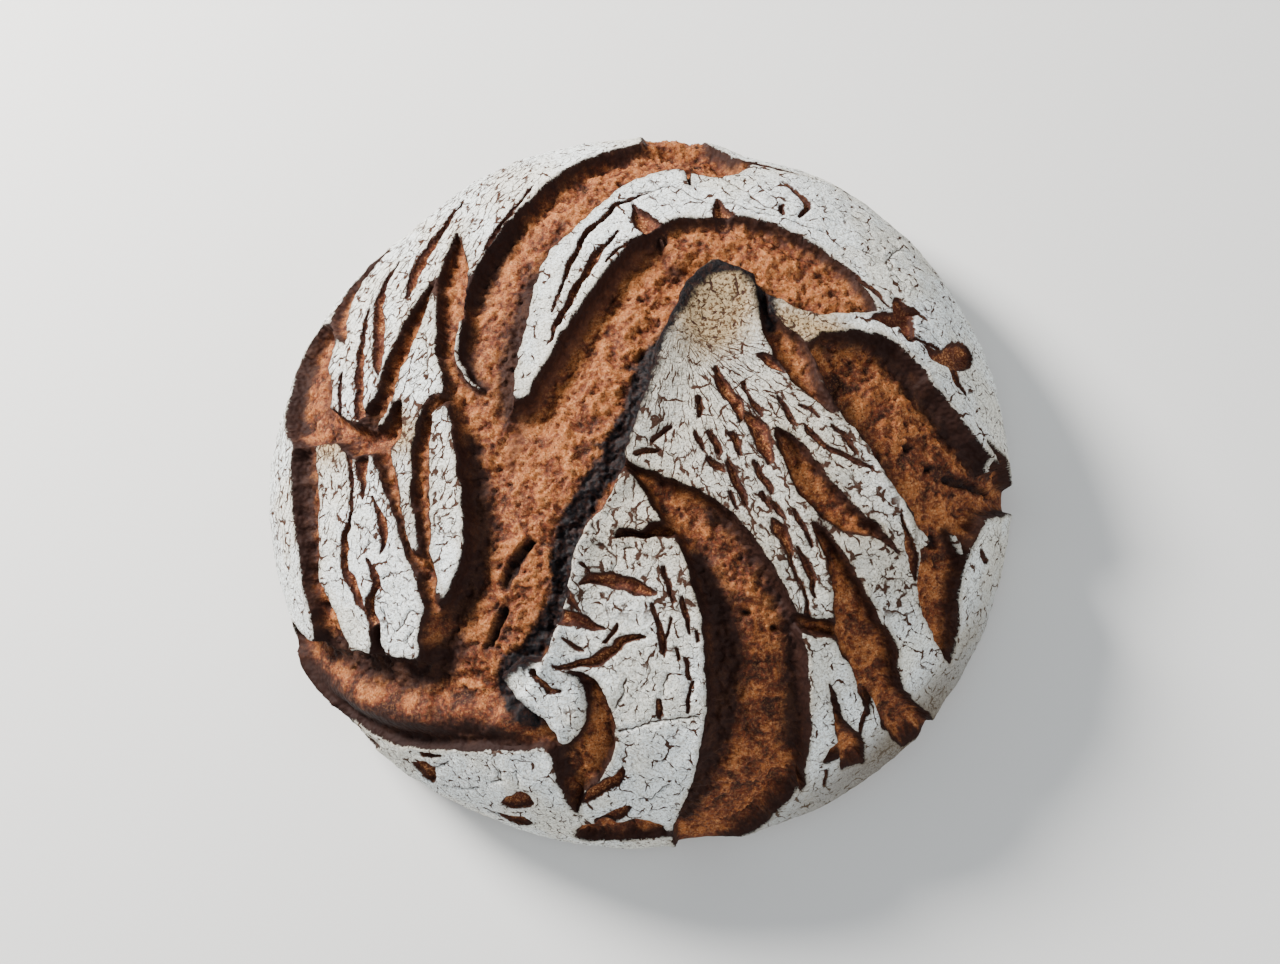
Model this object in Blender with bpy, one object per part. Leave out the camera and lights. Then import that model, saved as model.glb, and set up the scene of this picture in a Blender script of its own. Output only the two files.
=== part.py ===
"""A rustic country loaf: a low round dome of floured crust, torn open into plates by deep crumb-lined tears.

The crust is described on a flat chart in millimetres. A point's distance from the chart's centre is the
length along the crust from the crown, and its direction is the direction seen from above, so a tear keeps its
real width and length wherever it runs. A tear is a list of (right, up, half width) points with a smooth curve
through them.
"""
import math

import bmesh
import bpy
import numpy as np
from mathutils import Vector, noise

# The dome, in metres: a rounded profile from the crown to the widest ring, and a side turned in to the foot
WIDEST_RADIUS = 0.1215
WIDEST_HEIGHT = 0.014
CROWN_HEIGHT = 0.0805
DOME_POWER = 2.3
FOOT_RADIUS = 0.113

# The outline seen from above: how much it departs from a circle, as a share of the radius
OVAL_SHARE = 0.0165
SIDE_DENTS = {
    "upper left": {"toward": math.radians(130), "spread": math.radians(14), "share": -0.022},
    "far right": {"toward": math.radians(68), "spread": math.radians(7), "share": -0.016},
}
SKIRT = {"toward": math.radians(-46), "spread": math.radians(30), "share": 0.033, "from": 0.034, "to": 0.008}

# Relief, in millimetres
WALL_RUN = 1.3
FLOOR_RISE = 0.22
FLOOR_RISE_FROM = 4.0
FLOOR_RISE_TO = 15.0
LIP_HEIGHT = 0.7
LIP_SPREAD = 3.0
EAR_HEIGHT = 3.2
EAR_SPREAD = 7.5
WAVE_HEIGHT = 1.1
WAVE_LENGTH = 38.0
FADE_LOW = 3.0
FADE_HIGH = 13.0

# The mesh
BALL_LEVELS = 7
FOOT_ANGLE = math.radians(112)
CURVE_STEP = 2.5
KEPT_SHARE = 0.125

MILLIMETRE = 0.001

TEARS = {
    "arch around the tongue": {"depth": 7.5, "path": [
        (86, 39.5, 0.8), (73, 50, 7), (55, 58, 11), (35, 64, 9.8), (18, 52, 12.5), (6.3, 30, 14.8),
        (-6, 0, 18), (-18, -20, 19.5), (-23.5, -40, 17.2), (-36, -66, 19.5), (-46, -82, 15)]},
    "arch, right end": {"depth": 6.5, "path": [
        (53, 48, 4), (60, 46, 6), (68, 43, 6.5), (76, 41.5, 4.5), (85, 39.5, 1)]},
    "arch, left side": {"depth": 6.5, "path": [
        (-38, 2, 4.5), (-36, -20, 4.5), (-38, -40, 4), (-46, -54, 4.5), (-47, -60, 8)]},
    "upper left band": {"depth": 6.0, "path": [
        (43, 104, 6), (30, 108, 12.5), (9, 103, 11), (-10, 87.5, 12), (-29, 60, 11.6), (-34, 30, 10.3),
        (-34.8, 10, 10), (-32, -8, 8)]},
    "far side": {"depth": 1.5, "path": [(22, 118, 12), (20, 135, 12), (18, 155, 10)]},
    "lower left band": {"depth": 6.5, "path": [
        (-122, -58, 5), (-100, -75, 12), (-70, -82, 15.5), (-40, -86, 12.5), (-20, -92.5, 5.5),
        (-14, -98.5, 1.5)]},
    "lower left rim": {"depth": 3.0, "path": [
        (-130, -72, 10), (-120, -86, 12), (-108, -96, 9), (-90, -99, 2)]},
    "left rim, upper": {"depth": 6.0, "path": [
        (-108, 50, 5), (-105.5, 30, 12), (-97, 13, 8), (-84, 7, 4), (-77, 3, 5)]},
    "left rim, lower": {"depth": 5.0, "path": [
        (-103, 2, 6.5), (-100.5, -20, 6.3), (-100, -40, 4.5), (-97, -60, 8)]},
    "left rim, top": {"depth": 3.5, "path": [(-88, 84, 2), (-95, 63, 4.5), (-91, 45, 2.5)]},
    "lower right band": {"depth": 7.0, "path": [
        (10, -12.5, 0.8), (21, -20.5, 4.5), (34, -32.5, 9), (42, -48, 12), (48, -72, 15.3), (48.5, -90, 16.2),
        (46, -110, 17.8), (39.5, -130, 18.5), (33, -162, 15), (33, -172, 13)]},
    "right band": {"depth": 7.0, "path": [
        (71, 22, 4.5), (84.5, 12.5, 14), (100, -3.3, 17.2), (112, -12, 14), (132, -15, 9), (166, -13, 5)]},
    "right band, top": {"depth": 6.5, "path": [
        (69.5, 28, 1.5), (75, 27, 3.5), (81, 25, 6), (88, 21, 8), (94, 15, 9)]},
    "right band, lower branch": {"depth": 6.5, "path": [
        (108, -18, 14), (107.3, -40, 9.2), (110, -59, 6.8), (117.5, -75, 1)]},
    "lower right notch": {"depth": 6.5, "path": [
        (65.5, -30.5, 0.6), (71.5, -40, 2.5), (78, -58, 6.2), (84, -70, 8), (88, -80, 7.5), (97, -91, 7.5),
        (112, -106, 8), (120, -114, 8)]},
    "fan, right": {"depth": 5.0, "path": [
        (54.5, -2, 0.8), (60.5, -11, 4.2), (72, -26, 4.8), (85.5, -33.5, 1.4), (91, -38.5, 0.3)]},
    "fan, top": {"depth": 4.5, "path": [(51.5, 42, 1.5), (54.5, 30, 3.3), (61.5, 18.5, 4.7), (71, 3.8, 0.4)]},
    "bottom leaf": {"depth": 5.0, "path": [
        (-8, -75, 1.5), (-2.7, -85, 4.7), (-3.6, -95, 7.4), (-9, -105, 7.7), (-12.5, -115, 3.3),
        (-13.3, -124, 0.3)]},
    "left plates, inner": {"depth": 4.5, "path": [
        (-51.5, 77, 0.5), (-50, 60, 5.2), (-48.5, 40, 4.2), (-44.5, 22, 4), (-42, 14, 4.5)]},
    "left plates, outer": {"depth": 4.0, "path": [
        (-57, 57, 0.8), (-62, 38, 3.2), (-68, 17, 3.3), (-72, 10, 4), (-77, 3, 5)]},
    "lower left plates, inner": {"depth": 3.5, "path": [
        (-50, 12, 1.5), (-53.5, 1, 2.7), (-54.5, -16.5, 2.9), (-53, -36, 1.6), (-52.3, -51.5, 2.4),
        (-51.5, -61, 5)]},
    "lower left plates, outer": {"depth": 3.0, "path": [
        (-68, -1, 3), (-62, -21.5, 1.5), (-58.5, -34.5, 1.8), (-55.5, -38.5, 2.5)]},
    "lower right plate": {"depth": 3.5, "path": [
        (71.5, -83, 0.8), (74.5, -93, 1.6), (79.5, -102, 4.5), (83.5, -112, 5)]},
    "bottom rim": {"depth": 4.0, "path": [(-17, -141, 2), (0, -135, 7), (13, -137, 4)]},
}

# Tips of crust that reach out over a tear
PLATE_TIPS = {
    "bottom plate": [(-31.5, -75.3, 0.6), (-26, -76.3, 4.3), (-21, -78, 7.5), (-14, -82, 9)],
    "right plate": [(97, -34, 4), (100, -34.5, 2.5), (102.9, -34.8, 0.5)],
}

# The tongue's raised ear runs along the arch's inner side
EAR = [
    (47.5, 50.3, 0), (34.8, 50, 0), (27, 39.8, 0), (22.5, 26, 0), (15.8, 6.5, 0), (9.5, -10.8, 0),
    (0.8, -19.8, 0), (-6.5, -40.6, 0), (-12.8, -57.5, 0), (-19.5, -70.5, 0)]


def clear_scene():
    """Remove what the scene holds."""
    for thing in list(bpy.data.objects):
        bpy.data.objects.remove(thing, do_unlink=True)


def smooth_step(value, low, high):
    """0 at low, 1 at high, with a soft start and end."""
    share = np.clip((value - low) / (high - low), 0, 1)
    return share * share * (3 - 2 * share)


def bump(angle, toward, spread):
    """1 in one direction, falling off to each side of it."""
    turn = np.angle(np.exp(1j * (angle - toward)))
    return np.exp(-(turn / spread) ** 2)


def dome_profile(rounds=400):
    """Crust length from the crown, radius and height, from the crown to the foot."""
    turn = np.linspace(0, math.pi / 2, rounds)
    radius = WIDEST_RADIUS * np.sin(turn) ** (2 / DOME_POWER)
    height = WIDEST_HEIGHT + (CROWN_HEIGHT - WIDEST_HEIGHT) * np.cos(turn) ** (2 / DOME_POWER)
    under = np.linspace(0, math.pi / 2, rounds // 4)[1:]
    radius = np.append(radius, FOOT_RADIUS + (WIDEST_RADIUS - FOOT_RADIUS) * np.cos(under))
    height = np.append(height, WIDEST_HEIGHT * (1 - np.sin(under)))
    length = np.append(0, np.cumsum(np.hypot(np.diff(radius), np.diff(height))))
    return length, radius, height


def smooth_path(points):
    """A Catmull-Rom curve through the points, close enough set to be joined by straight lines."""
    points = np.array(points, dtype=float)
    ends = np.vstack([2 * points[0] - points[1], points, 2 * points[-1] - points[-2]])
    path = []
    for before, start, end, after in zip(ends, ends[1:], ends[2:], ends[3:]):
        count = max(2, math.ceil(math.dist(start[:2], end[:2]) / CURVE_STEP))
        for share in np.arange(count) / count:
            path.append(0.5 * (2 * start + (end - before) * share
                               + (2 * before - 5 * start + 4 * end - after) * share ** 2
                               + (3 * start - before - 3 * end + after) * share ** 3))
    return np.vstack([path, points[-1]])


def distance_to(right, up, path):
    """Distance on the chart to a path of changing width: below 0 inside it."""
    nearest = np.full_like(right, np.inf)
    for start, end in zip(path, path[1:]):
        along = end[:2] - start[:2]
        share = ((right - start[0]) * along[0] + (up - start[1]) * along[1]) / max(along @ along, 1e-9)
        share = np.clip(share, 0, 1)
        gap = np.hypot(right - start[0] - share * along[0], up - start[1] - share * along[1])
        nearest = np.minimum(nearest, gap - start[2] - share * (end[2] - start[2]))
    return nearest


def relief(right, up):
    """Height in millimetres over the plain dome: tears go down, lips and the ear stand up."""
    edge = np.full_like(right, np.inf)
    depth = np.zeros_like(right)
    for tear in TEARS.values():
        beyond = distance_to(right, up, smooth_path(tear["path"]))
        inside = np.maximum(-beyond, 0)
        floor = 1 - FLOOR_RISE * smooth_step(inside, FLOOR_RISE_FROM, FLOOR_RISE_TO)
        depth = np.maximum(depth, tear["depth"] * (1 - np.exp(-inside / WALL_RUN)) * floor)
        edge = np.minimum(edge, beyond)
    for tip in PLATE_TIPS.values():
        beyond = distance_to(right, up, smooth_path(tip))
        depth *= smooth_step(beyond, -WALL_RUN, WALL_RUN)
        edge = np.maximum(edge, -beyond)
    on_plate = smooth_step(edge, -WALL_RUN, WALL_RUN)
    lip = LIP_HEIGHT * np.exp(-np.maximum(edge, 0) / LIP_SPREAD)
    ear = EAR_HEIGHT * np.exp(-(distance_to(right, up, smooth_path(EAR)) / EAR_SPREAD) ** 2)
    wave = np.array([noise.noise(Vector((a, b, 0)) / WAVE_LENGTH) for a, b in zip(right, up)])
    return on_plate * (lip + ear) - depth + WAVE_HEIGHT * wave


def crust_points(ball):
    """Move the points of a unit ball onto the loaf: its lower cap becomes the flat base."""
    length, radius, height = dome_profile()
    tilt = np.arccos(np.clip(ball[:, 2], -1, 1))
    angle = np.arctan2(ball[:, 1], ball[:, 0])
    on_crust = tilt <= FOOT_ANGLE
    reach = np.where(on_crust, length[-1] * tilt / FOOT_ANGLE, length[-1])

    ring = np.interp(reach, length, radius)
    level = np.interp(reach, length, height)
    outward = -np.interp(reach, length, np.gradient(height, length))
    upward = np.interp(reach, length, np.gradient(radius, length))

    chart = reach / MILLIMETRE
    rise = relief(chart * np.cos(angle), chart * np.sin(angle)) * MILLIMETRE
    rise *= smooth_step(level / MILLIMETRE, FADE_LOW, FADE_HIGH)

    outline = 1 + OVAL_SHARE * np.cos(2 * angle)
    for dent in SIDE_DENTS.values():
        outline += dent["share"] * bump(angle, dent["toward"], dent["spread"])
    low = 1 - smooth_step(level, SKIRT["to"], SKIRT["from"])
    outline += SKIRT["share"] * low * bump(angle, SKIRT["toward"], SKIRT["spread"])

    ring = (ring + outward * rise) * outline
    level = level + upward * rise
    inward = np.where(on_crust, 1, (math.pi - tilt) / (math.pi - FOOT_ANGLE))
    level = np.where(on_crust, level, 0)
    return np.column_stack([ring * inward * np.cos(angle), ring * inward * np.sin(angle), level])


def crust_material():
    """Browned bread crust."""
    material = bpy.data.materials.new("crust")
    material.use_nodes = True
    shader = material.node_tree.nodes["Principled BSDF"]
    shader.inputs["Base Color"].default_value = (0.33, 0.22, 0.15, 1)
    shader.inputs["Roughness"].default_value = 0.85
    shader.inputs["Metallic"].default_value = 0.0
    material.diffuse_color = (0.33, 0.22, 0.15, 1)
    return material


def make_loaf():
    """The whole loaf, with its origin under the middle of its outline."""
    bm = bmesh.new()
    bmesh.ops.create_icosphere(bm, subdivisions=BALL_LEVELS, radius=1)
    mesh = bpy.data.meshes.new("loaf")
    bm.to_mesh(mesh)
    bm.free()

    ball = np.empty(len(mesh.vertices) * 3)
    mesh.vertices.foreach_get("co", ball)
    points = crust_points(ball.reshape(-1, 3))
    middle = (points.min(axis=0) + points.max(axis=0)) / 2
    points[:, :2] -= middle[:2]
    mesh.vertices.foreach_set("co", points.ravel())
    mesh.update()
    mesh.shade_smooth()
    mesh.materials.append(crust_material())

    loaf = bpy.data.objects.new("loaf", mesh)
    bpy.context.collection.objects.link(loaf)
    fewer = loaf.modifiers.new("Fewer faces", "DECIMATE")
    fewer.decimate_type = "COLLAPSE"
    fewer.ratio = KEPT_SHARE
    return loaf


clear_scene()
make_loaf()
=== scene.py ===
# Looks for the rustic country loaf: a floured crust torn into plates, with deep browned bands between them.
# The crust is laid out on a flat chart in millimetres. A point's distance from the chart's centre is the
# length along the crust from the crown, and its direction is the direction seen from above.
# A stroke is a list of (right, up, half width) points with a smooth curve through them.
from functools import partial
import math

import bpy
import numpy as np
from mathutils import Matrix, Vector, noise


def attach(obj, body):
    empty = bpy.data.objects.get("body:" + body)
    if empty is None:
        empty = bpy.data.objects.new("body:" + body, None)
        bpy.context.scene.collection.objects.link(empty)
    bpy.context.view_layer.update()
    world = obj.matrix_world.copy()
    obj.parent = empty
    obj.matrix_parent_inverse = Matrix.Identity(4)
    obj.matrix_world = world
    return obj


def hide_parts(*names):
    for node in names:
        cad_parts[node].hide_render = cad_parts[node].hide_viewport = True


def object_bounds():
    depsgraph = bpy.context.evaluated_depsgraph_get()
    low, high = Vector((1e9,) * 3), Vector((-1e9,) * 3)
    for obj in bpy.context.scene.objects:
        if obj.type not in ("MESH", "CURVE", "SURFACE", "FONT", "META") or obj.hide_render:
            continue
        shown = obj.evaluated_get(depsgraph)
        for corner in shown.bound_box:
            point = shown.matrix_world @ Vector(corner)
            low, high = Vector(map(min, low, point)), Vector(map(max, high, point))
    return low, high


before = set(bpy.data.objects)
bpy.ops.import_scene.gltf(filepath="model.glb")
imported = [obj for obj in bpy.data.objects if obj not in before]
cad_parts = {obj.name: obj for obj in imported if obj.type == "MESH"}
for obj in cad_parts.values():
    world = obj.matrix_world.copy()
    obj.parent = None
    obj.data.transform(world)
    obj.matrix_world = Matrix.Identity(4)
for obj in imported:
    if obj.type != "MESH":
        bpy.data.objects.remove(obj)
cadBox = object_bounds()
print("frame loaded")


# The loaf's plain form, in metres, as the solid has it
dome = {
    "widestRadius": 0.1215,
    "widestHeight": 0.014,
    "crownHeight": 0.0805,
    "power": 2.3,
    "footRadius": 0.113,
    "footAngle": math.radians(112),
    "oval": 0.0165,
    "dents": [(130, 14, -0.022), (68, 7, -0.016)],  # toward and spread in degrees, share of the radius
    # The skirt bulges the foot out at the lower right; paintedShadeHigh and paintedShadeLow are the heights
    # over which its flour is darkened with painted shade, as that side faces away from the key light
    "skirtAndPaintedShade": {"toward": -46, "spread": 30, "share": 0.033, "high": 0.034, "low": 0.008,
              "paintedShadeHigh": 0.046, "paintedShadeLow": 0.022},
    "brownedFoot": 0.011,
    "ballLevels": 9,
    "quickLevels": 8,
    "triangles": 190000,
}

# Relief of the crust, in millimetres
relief = {
    "edgeReach": 12.0,  # how far off a tear its edge is still felt
    "wallRun": 1.1,
    "tearSide": (-0.3, 1.6),  # across its edge
    "corner": 3.5,  # how far plate corners are rounded off
    "floorRise": 0.22,
    "floorRiseFrom": 4.0,
    "floorRiseTo": 15.0,
    "lipHeight": 0.7,
    "lipSpread": 3.0,
    "earHeight": 3.2,
    "earSpread": 7.5,
    "waveHeight": 1.1,
    "waveLength": 38.0,
    "fadeLow": 3.0,
    "fadeHigh": 13.0,
    "rags": [(4.5, 0.7), (1.6, 0.14)],  # size and reach of the rags along a tear's edge
    "crumbs": [(7.0, 1.0), (3.2, 0.7), (1.6, 0.5), (0.9, 0.3)],  # size and height of the crumb's lumps
    "poreSize": 2.6,
    "poreDepth": 0.6,
    "pores": (0.3, 0.75),  # which lumps sink into pores
    "slitCrumbs": [(2.4, 0.5), (1.2, 0.4)],
    "crust": [(9.0, 0.4), (2.6, 0.2), (1.2, 0.1)],
    "underIsland": 0.25,  # share of a tear's depth that is left under an island
    "islandSide": (-0.9, 0.9),
    "stripSide": (-0.6, 3.2),
    "slitDepth": 2.8,
    "slitRun": 0.8,
    "slitSide": (-0.1, 0.8),
    "crackDepth": 0.7,
    "crackWidth": 0.4,
    "crackWander": [(2.0, 0.5)],
    "pitDepth": 3.0,
    "pitSide": (-1.4, 0.6),
    "swellSmoothing": 0.6,  # how much smoother the browner swells are
    "darkBandShare": 0.65,  # how much browner the dark bands are
    "darkBandSide": (-6.0, 8.0),
}

# Wide tears: how deep each goes, and its strokes
tears = {
    "arch": (7.5, [
        [(86, 39.5, 0.8), (80, 45, 4), (73, 50, 7), (65, 53.5, 9.5), (55, 58, 11), (45, 62.5, 10.5),
         (35, 64, 9.8), (26, 61, 11.5), (18, 52, 12.5), (11.5, 40, 13.6), (6.3, 30, 14.8), (2, 20, 16.3),
         (-2.2, 10, 17.5), (-6, 0, 18), (-13, -10, 22), (-18, -20, 19.5), (-21, -30, 17.8),
         (-23.5, -40, 17.2), (-26.5, -50, 18), (-31, -58, 18.5), (-36, -66, 19.5), (-42, -74, 17),
         (-46, -82, 15)],
        [(53, 48, 4), (60, 46, 6), (68, 43, 6.5), (76, 41.5, 4.5), (85, 39.5, 1)],
        [(-38, 2, 4.5), (-37, -10, 4.5), (-36, -20, 4.5), (-36, -30, 4), (-38, -40, 4), (-42, -48, 4),
         (-46, -54, 4.5), (-47, -60, 8)]]),
    "upperLeftBand": (6.0, [
        [(43, 104, 6), (38, 104, 10), (30, 108, 12.5), (20, 108, 12), (9, 103, 11), (-2, 96.5, 11.6),
         (-10, 87.5, 12), (-17, 78, 11.6), (-23.8, 69, 11), (-29, 60, 11.6), (-32, 50, 12), (-33, 40, 11.5),
         (-34, 30, 10.3), (-34.5, 20, 10), (-34.8, 10, 10), (-34, 0, 8.5), (-32, -8, 8)],
        [(28, 97, 1.2), (28.8, 89, 0.4)]]),
    "farSide": (1.5, [
        [(22, 118, 12), (20, 135, 12), (18, 155, 10)],
        [(40, 107, 2.5), (50, 107.5, 2), (60, 104, 1), (66, 101, 0.4)]]),
    "lowerLeftBand": (6.5, [
        [(-122, -58, 5), (-112, -68, 9), (-100, -75, 12), (-88, -78, 14.5), (-70, -82, 15.5),
         (-52, -84, 14.5), (-40, -86, 12.5), (-30, -89, 9.5), (-20, -92.5, 5.5), (-14, -98.5, 1.5)],
        [(-74.5, -57, 0.8), (-74, -66, 3)], [(-54, -58, 0.8), (-52, -67, 5.5)],
        [(-91, -56, 1.5), (-92, -64, 5.5)]]),
    "lowerLeftRim": (3.0, [
        [(-130, -72, 10), (-120, -86, 12), (-108, -96, 9), (-98, -99, 5), (-90, -99, 2)]]),
    "leftRimUpper": (6.0, [
        [(-108, 50, 5), (-106, 40, 12), (-105.5, 30, 12), (-103, 20, 13), (-97, 13, 8), (-84, 7, 4),
         (-77, 3, 5)]]),
    "leftRimLower": (5.0, [
        [(-103, 2, 6.5), (-101, -10, 7), (-100.5, -20, 6.3), (-99.7, -30, 5.3), (-100, -40, 4.5),
         (-97, -50, 6), (-97, -60, 8)]]),
    "leftRimTop": (3.5, [
        [(-88, 84, 2), (-92, 74, 3.5), (-95, 63, 4.5), (-95, 54, 4.5), (-91, 45, 2.5), (-88.5, 40, 0.5)]]),
    "lowerRightBand": (7.0, [
        [(10, -12.5, 0.8), (15, -15.5, 2.2), (21, -20.5, 4.5), (27, -26, 7), (34, -32.5, 9),
         (38.5, -40, 10.5), (42, -48, 12), (46, -58, 13.5), (46.5, -64, 14.5), (48, -72, 15.3),
         (48.3, -80, 15.7), (48.5, -90, 16.2), (47.6, -100, 17.4), (46, -110, 17.8), (43, -120, 18),
         (39.5, -130, 18.5), (36, -140, 18), (34, -150, 16.5), (33, -162, 15), (33, -172, 13)],
        [(7, -34, 0.5), (9.5, -32.8, 1.3), (14, -33.6, 1.2), (18, -32.3, 2), (23, -32, 3)],
        [(60, -60, 2.5), (66, -61.3, 2.8), (71, -62.5, 2.5)],
        [(63, -110, 1), (64, -116, 1.5), (65.5, -122, 1)]]),
    "rightBand": (7.0, [
        [(68.5, 24.5, 3.5), (71, 22, 5), (77, 18.5, 9), (84.5, 12.5, 14), (92.5, 5.5, 15.8),
         (100, -3.3, 17.2), (106.5, -12, 17.5), (112, -20, 14)],
        [(112, -12, 14), (122, -14, 11.5), (132, -15, 9), (142, -14.5, 7), (152, -14, 6), (166, -13, 5)],
        [(126, 0.5, 0.6), (132, -2.5, 2), (139, -5.5, 3.5), (146, -8, 4)],
        [(69.5, 28, 1.5), (75, 27, 3.5), (81, 25, 6), (88, 21, 8), (94, 15, 9)]]),
    "rightBranch": (6.5, [
        [(108, -22, 13), (108, -32, 11), (107.3, -40, 9.2), (107, -50, 8.6), (110, -59, 6.8),
         (114.5, -68, 4.3), (117.5, -75, 1)]]),
    "lowerRightNotch": (6.5, [
        [(65.5, -30.5, 0.6), (68, -34.5, 2), (71.5, -40, 2.5), (74, -46, 3.7), (76, -52, 5), (78, -58, 6.2),
         (79.8, -64, 7.5), (84, -70, 8), (87, -80, 7.5), (91, -86, 7), (98, -93, 7), (106, -100, 8),
         (114, -107, 8), (122, -115, 8)]]),
    "fanRight": (5.0, [
        [(54.5, -2, 0.8), (57, -5.5, 2.8), (60.5, -11, 4.2), (65.5, -19, 5), (72, -26, 4.8), (79, -30.5, 3.2),
         (85.5, -33.5, 1.4), (91, -38.5, 0.3)]]),
    "fanTop": (4.5, [
        [(51.5, 42, 1.5), (52.3, 36, 2), (54.5, 30, 3.3), (58.5, 24.5, 5), (61.5, 18.5, 4.7), (64, 13, 3.2),
         (67.5, 8, 1.6), (71, 3.8, 0.4)]]),
    "leaf": (5.0, [
        [(-8, -75, 1.5), (-3.5, -80, 4), (-2.7, -85, 4.7), (-2, -90, 6), (-3.6, -95, 7.4), (-7.5, -100, 8.8),
         (-9, -105, 7.7), (-12, -110, 5), (-12.5, -115, 3.3), (-13.2, -120, 1.2), (-13.3, -124, 0.3)]]),
    "leftPlatesInner": (4.5, [
        [(-51.5, 77, 0.5), (-50.5, 70, 3), (-50, 60, 5.2), (-49.5, 50, 5), (-48.5, 40, 4.2), (-47, 30, 4.2),
         (-44.5, 22, 4), (-42, 14, 4.5)],
        [(-43, 15, 1.5), (-50, 11.5, 1.5)]]),
    "leftPlatesOuter": (4.0, [
        [(-57, 57, 0.8), (-60, 47, 2.5), (-62, 38, 3.2), (-66, 27, 3.5), (-68, 17, 3.3), (-72, 10, 4)],
        [(-63, 12, 2), (-66, 3, 4), (-77, 3, 5)]]),
    "lowerPlatesInner": (3.5, [
        [(-50, 12, 1.5), (-52.5, 8.3, 2), (-53.5, 1, 2.7), (-54.2, -8, 3), (-54.5, -16.5, 2.9),
         (-54.2, -20, 2.7), (-53, -30.5, 2), (-53, -36, 1.6), (-53.3, -39, 2.5), (-52.8, -44.5, 3),
         (-52.3, -51.5, 2.4), (-51.8, -56, 3.2), (-51.5, -61, 5)]]),
    "lowerPlatesOuter": (3.0, [
        [(-68, -1, 3), (-66.8, -6, 3), (-64, -15, 2.4), (-62, -21.5, 1.5), (-60.7, -28, 1.3),
         (-58.5, -34.5, 1.8), (-55.5, -38.5, 2.5)]]),
    "lowerRightPlate": (3.5, [
        [(70.5, -79, 0.3), (71.5, -83, 0.8), (73, -88, 1.2), (74.5, -93, 1.6), (77, -98, 3),
         (79.5, -102, 4.5), (82, -107, 5), (83.5, -112, 5)],
        [(79, -101, 3), (74.5, -104, 2.8), (71.5, -107, 1.5)]]),
    "bottomRim": (4.0, [
        [(-17, -141, 2), (-10, -136, 6), (0, -135, 7), (8, -134, 7), (13, -137, 4)]]),
}

# Tips and slivers of crust left standing in the tears
islands = [
    [(-31.5, -75.3, 0.6), (-26, -76.3, 4.3), (-21, -78, 7.5), (-14, -82, 9), (-11.5, -89, 6),
     (-12.5, -95, 2.5)],
    [(97, -34, 4), (100, -34.5, 2.5), (102.9, -34.8, 0.5)],
    [(-45, 40, 0.6), (-45.2, 34, 0.9), (-45, 28, 0.9), (-41, 20, 0.7), (-37, 16, 0.4)],
    [(122, -0.5, 0.5), (128, -3, 0.9), (130, -8.5, 0.6)],
    [(113, -32, 0.6), (114.5, -34.5, 1), (116.5, -37.5, 0.6)],
    [(87, -87, 0.5), (87.5, -92, 2.2), (88.5, -97, 3), (91, -103, 3.3)],
    [(19.5, 67.5, 0.7), (20.5, 66.5, 0.7)],
]

# The floured strip along the foot at the lower right, which the tears stop at
rimStrip = [[(36, -163, 2), (48, -158, 7), (60.7, -150, 12), (77.5, -134, 19), (88.8, -130.7, 17),
             (96, -128, 16), (117, -117, 8), (124, -110, 2)]]

# Crumb that swells up inside the tears: how high, how wide, how much browner and smoother, and along what
swells = {
    "roll": (6.0, 7.5, 0.25, [
        (-126, -68, 0), (-112, -77, 0), (-100, -81.5, 0), (-88, -85, 0), (-70, -88.5, 0), (-52, -89.5, 0),
        (-40, -90, 0), (-30, -91.5, 0)]),
    "underArch": (3.6, 6.5, 0.0, [
        (80, 45.5, 0), (73, 52, 0), (65, 57.5, 0), (55, 62.5, 0), (45, 67.5, 0), (35, 69, 0), (26, 66.5, 0)]),
}

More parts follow.
